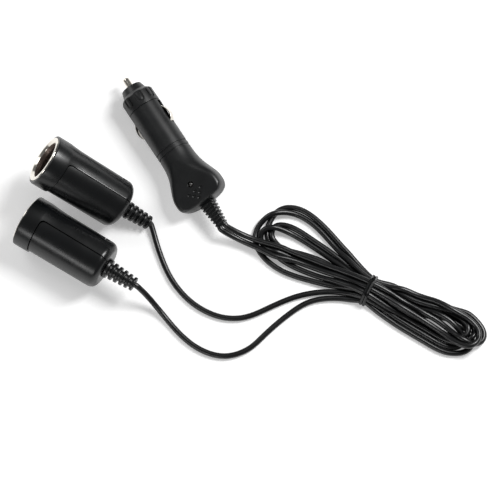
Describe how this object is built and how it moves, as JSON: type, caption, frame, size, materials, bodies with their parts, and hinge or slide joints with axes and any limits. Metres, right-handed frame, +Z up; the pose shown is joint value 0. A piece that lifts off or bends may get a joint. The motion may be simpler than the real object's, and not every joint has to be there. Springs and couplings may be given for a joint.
{
  "type": "car socket splitter",
  "caption": "Fused car accessory plug with a fiddle-shaped handle, feeding round accessory sockets through thin cords folded into a tied hank.",
  "frame": {"origin": "on the surface that the part lies on, under the middle of the box round the plug and the two sockets", "axes": "+Z up; the lower socket lies along X with its mouth towards -X"},
  "size_m": [0.278, 0.1233, 0.0502],
  "materials": {
    "black_plastic": "satin black moulding",
    "cord_pvc": "soft satin black PVC",
    "nickel": "bright warm nickel plate",
    "brass": "plain stamped",
    "steel": "zinc plated",
    "fuse_glass": "clear",
    "fibre": "pressed fibre and resin",
    "laminate": "coated circuit board",
    "lamp_lens": "clear dome with a pale centre"
  },
  "bodies": {
    "housings": {"plug_shell_upper": "black_plastic", "plug_shell_lower": "black_plastic", "pin_spring": "steel", "rear_contact": "brass", "indicator_lamp": "lamp_lens", "circuit_board": "laminate", "handle_screw": "steel", "plug_boot": "black_plastic", "lower_socket_body": "black_plastic", "lower_socket_cover": "black_plastic", "lower_socket_sleeve": "nickel", "lower_socket_insulator": "fibre", "lower_centre_contact": "brass", "lower_centre_tag": "brass", "lower_sleeve_tag": "brass", "lower_cover_screw": "steel", "lower_socket_boot": "black_plastic", "upper_socket_body": "black_plastic", "upper_socket_cover": "black_plastic", "upper_socket_sleeve": "nickel", "upper_socket_insulator": "fibre", "upper_centre_contact": "brass", "upper_centre_tag": "brass", "upper_sleeve_tag": "brass", "upper_cover_screw": "steel", "upper_socket_boot": "black_plastic", "upper_plug_lead": "cord_pvc", "lower_plug_lead": "cord_pvc", "upper_socket_lead": "cord_pvc", "lower_socket_lead": "cord_pvc", "cord_hank": "cord_pvc", "cord_tie": "black_plastic"},
    "pin_and_fuse": {"centre_pin": "nickel", "fuse_cap_front": "nickel", "fuse_tube": "fuse_glass", "fuse_cap_rear": "nickel"},
    "left_contact": {"side_contact_left": "nickel"},
    "right_contact": {"side_contact_right": "nickel"},
    "washer": {"cap_washer": "fibre"},
    "cap": {"tip_cap": "black_plastic"}
  },
  "joints": [
    {"name": "pin_slide", "type": "slide", "parent": "housings", "child": "pin_and_fuse", "axis": [0.9018, -0.4321, 0], "range_m": [0, 0.003], "stiffness_N_per_m": 1000, "springref_m": -0.004, "deforming": ["pin_spring"]},
    {"name": "right_contact_spring", "type": "hinge", "parent": "housings", "child": "right_contact", "pos_m": [-0.01665, 0.05327, 0.01321], "axis": [0.1619, 0.3378, -0.9272], "range_deg": [0, 9], "stiffness_Nm_per_rad": 0.2, "springref_deg": -5.73},
    {"name": "left_contact_spring", "type": "hinge", "parent": "housings", "child": "left_contact", "pos_m": [-0.02202, 0.04206, 0.00819], "axis": [-0.1619, -0.3378, 0.9272], "range_deg": [0, 9], "stiffness_Nm_per_rad": 0.2, "springref_deg": -5.73},
    {"name": "cap_advance", "type": "slide", "parent": "housings", "child": "washer", "axis": [-0.9018, 0.4321, 0], "range_m": [0, 0.0056]},
    {"name": "cap_turn", "type": "hinge", "parent": "washer", "child": "cap", "pos_m": [-0.02871, 0.05216, 0.0107], "axis": [-0.9018, 0.4321, 0], "range_deg": [0, 1980]}
  ],
  "couplings": [
    {"joint": "cap_advance", "follows": "cap_turn", "m_per_rad": 0.00015915}
  ]
}
